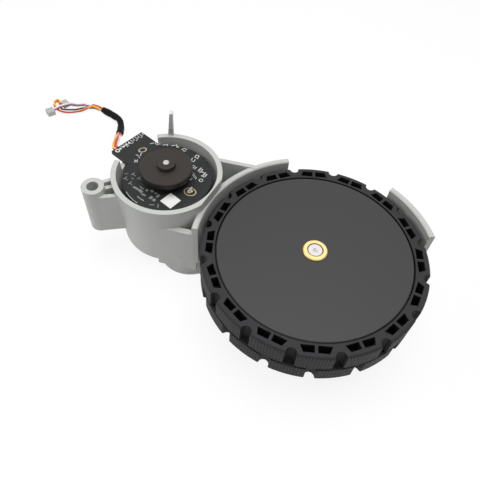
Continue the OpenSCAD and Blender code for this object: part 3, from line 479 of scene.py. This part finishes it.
bars("plus_mark", [(12.7, 2.3, 1.6, 0.3, 0), (12.7, 2.3, 0.3, 1.6, 0)], M["print"])
bars("outline_marks", [
    (15.2, -7.2, 1.5, 0.28, 60), (14.2, -8.0, 1.2, 0.28, -20), (13.2, -8.5, 1.4, 0.28, 75),
    (11.6, -9.7, 1.2, 0.28, 45), (10.9, -10.3, 1.1, 0.28, -35), (9.2, -11.6, 1.3, 0.28, 60),
    (8.3, -12.3, 1.3, 0.3, -30), (7.6, -12.0, 1.0, 0.28, 45), (5.6, -12.8, 1.5, 0.28, 75),
    (4.9, -13.3, 1.1, 0.28, -10), (4.7, -12.3, 1.1, 0.28, 30),
], M["print"])
bars("row_marks", [
    (0.2, -13.3, 0.28, 1.5, 20), (-0.9, -13.4, 0.28, 1.5, 20), (-0.3, -12.7, 1.3, 0.26, 20), (-0.2, -14.0, 1.2, 0.26, 20),
    (0.0, -11.2, 0.28, 1.4, 20), (-1.1, -11.4, 0.28, 1.4, 20), (-0.5, -10.7, 1.2, 0.26, 20),
    (-2.4, -9.2, 0.26, 1.3, 0), (-3.1, -9.2, 0.26, 1.3, 0), (-3.8, -9.2, 0.26, 1.3, 0), (-3.0, -8.4, 1.1, 0.24, 0),
    (-3.4, -7.0, 0.24, 1.1, 15), (-4.1, -6.9, 0.24, 1.1, 15), (-4.7, -6.7, 0.24, 1.0, 15), (-5.3, -6.6, 0.24, 1.0, 15),
    (-5.9, -6.4, 0.24, 1.0, 15), (-6.5, -6.2, 0.24, 1.0, 15), (-7.1, -6.0, 0.24, 0.9, 15),
    (-4.9, -4.8, 0.26, 1.2, 0), (-5.6, -4.7, 0.26, 1.2, 0), (-6.3, -4.6, 0.26, 1.2, 0),
], M["print"])
bars("block_marks", [
    (-5.2, -9.7, 0.42, 1.9, 10), (-6.0, -9.6, 0.42, 1.9, 10), (-6.8, -9.5, 1.9, 0.42, 10), (-7.8, -9.2, 0.42, 1.9, 10),
    (-8.6, -8.9, 0.42, 1.9, 10), (-8.2, -8.2, 1.5, 0.40, 10),
], M["print"])
washer("round_mark", -8.9, -6.5, 0.45, 0.72, M["print"])
bars("left_marks", [
    (9.4, 9.9, 0.28, 1.6, 0), (8.7, 10.0, 1.2, 0.26, 0), (9.0, 6.9, 0.28, 1.5, 0), (8.3, 7.0, 1.2, 0.26, 0),
    (6.3, 6.8, 0.28, 1.5, 0), (5.7, 6.9, 1.1, 0.26, 0), (6.7, 10.2, 0.28, 1.5, 0), (6.0, 10.3, 1.1, 0.26, 0),
    (10.6, 8.4, 1.3, 0.28, 50), (7.5, 8.4, 0.9, 0.26, 0),
], M["print_dim"])
bars("smears", [
    (3.6, 10.4, 2.2, 0.7, 10), (1.6, 10.2, 1.6, 1.0, -8), (-0.2, 10.6, 1.5, 0.6, 12), (2.4, 9.0, 1.8, 0.35, 0),
    (-1.0, 7.7, 1.2, 0.9, 0), (-2.6, 7.5, 0.9, 0.6, 20), (-3.9, 7.8, 0.8, 1.3, 0), (-5.2, 11.6, 1.7, 0.3, 40),
    (-6.9, 10.6, 1.5, 0.3, -50), (-4.2, 9.8, 1.0, 1.0, 0), (-2.8, 9.8, 0.9, 1.2, 0), (0.4, 8.6, 0.8, 0.8, 0),
], M["print_dim"])
arc = [(14.3 * math.cos(math.radians(a)), 14.3 * math.sin(math.radians(a)), 0.9, 0.2, a + 90) for a in range(73, 96, 3)]
arc += [(12.4 * math.cos(math.radians(a)), 12.4 * math.sin(math.radians(a)), 0.8, 0.2, a + 90) for a in range(89, 101, 3)]
bars("arc_marks", arc, M["print"])
bars("white_label", [(-8.2, 6.45, 4.6, 4.6, 0)], M["label"], height=0.12)
washer("solder_rim", -9.95, -0.45, 1.40, 1.68, M["gilt"], height=0.10, stretch=1.25, turn=20)
washer("solder_pad", -9.95, -0.45, 0.2, 0.62, M["gilt"], height=0.30, stretch=1.6, turn=60)
washer("loop_rim", 15.0, -2.7, 0.80, 1.10, M["gilt"], height=0.12, stretch=1.35, turn=70)
bars("loop_tail", [(13.9, -0.9, 0.26, 1.5, 30), (14.5, 0.2, 1.0, 0.26, 20), (13.3, 0.4, 0.8, 0.26, -15)], M["print"])

# ---------------------------------------------------------------- light and ground
world = bpy.data.worlds.new("world")
scene.world = world
world.use_nodes = True
wn = world.node_tree
bg = wn.nodes["Background"]
bg.inputs["Color"].default_value = (1, 1, 1, 1)
bg.inputs["Strength"].default_value = 0.14


def seen_directly(nt, share=1.0):
    """The share for rays from the camera, off metal or through glass, which see the ground and the sky white."""
    path = nt.nodes.new("ShaderNodeLightPath")
    either = math_node(nt, "MAXIMUM", path.outputs["Is Camera Ray"], path.outputs["Is Glossy Ray"])
    either = math_node(nt, "MAXIMUM", either, path.outputs["Is Transmission Ray"])
    return math_node(nt, "MULTIPLY", either, share)


sky = wn.nodes.new("ShaderNodeBackground")
sky.inputs["Color"].default_value = (1, 1, 1, 1)
sky.inputs["Strength"].default_value = 1.0
sky_mix = wn.nodes.new("ShaderNodeMixShader")
wn.links.new(seen_directly(wn), sky_mix.inputs[0])
wn.links.new(bg.outputs[0], sky_mix.inputs[1])
wn.links.new(sky.outputs[0], sky_mix.inputs[2])
wn.links.new(sky_mix.outputs[0], wn.nodes["World Output"].inputs["Surface"])


def area(name, loc, size, power, target=(-0.02, 0.02, 0.01), size_y=None):
    la = bpy.data.lights.new(name, "AREA")
    la.energy = power
    la.size = size
    if size_y:
        la.shape = "RECTANGLE"
        la.size_y = size_y
    ob = bpy.data.objects.new(name, la)
    scene.collection.objects.link(ob)
    ob.location = loc
    d = Vector(target) - Vector(loc)
    ob.rotation_mode = "QUATERNION"
    ob.rotation_quaternion = d.to_track_quat("-Z", "Y")
    return ob


area("key_top", (0.02, 0.04, 0.45), 0.38, 1.8)
area("fill_left", (-0.36, -0.02, 0.24), 0.22, 0.42)
area("fill_front", (0.10, -0.40, 0.22), 0.30, 0.05)

GLOW_SHARE = 0.82  # the rest of the floor's tone is lit, and keeps the object's shadow
floor_mat, nt, bsdf = tree_of("floor_pale")
out_node = nt.nodes["Material Output"]
bsdf.inputs["Base Color"].default_value = (0.8, 0.8, 0.8, 1)
bsdf.inputs["Roughness"].default_value = 0.9
glow = nt.nodes.new("ShaderNodeEmission")
glow.inputs["Color"].default_value = (1, 1, 1, 1)
glow.inputs["Strength"].default_value = 1.06
mixer = nt.nodes.new("ShaderNodeMixShader")
nt.links.new(seen_directly(nt, GLOW_SHARE), mixer.inputs[0])
nt.links.new(bsdf.outputs[0], mixer.inputs[1])
nt.links.new(glow.outputs[0], mixer.inputs[2])
nt.links.new(mixer.outputs[0], out_node.inputs["Surface"])
me = bpy.data.meshes.new("floor")
me.from_pydata([(-3, -3, 0), (3, -3, 0), (3, 3, 0), (-3, 3, 0)], [], [(0, 1, 2, 3)])
floor = bpy.data.objects.new("floor", me)
me.materials.append(floor_mat)
floor.location = (0, 0, -0.0002)
scene.collection.objects.link(floor)
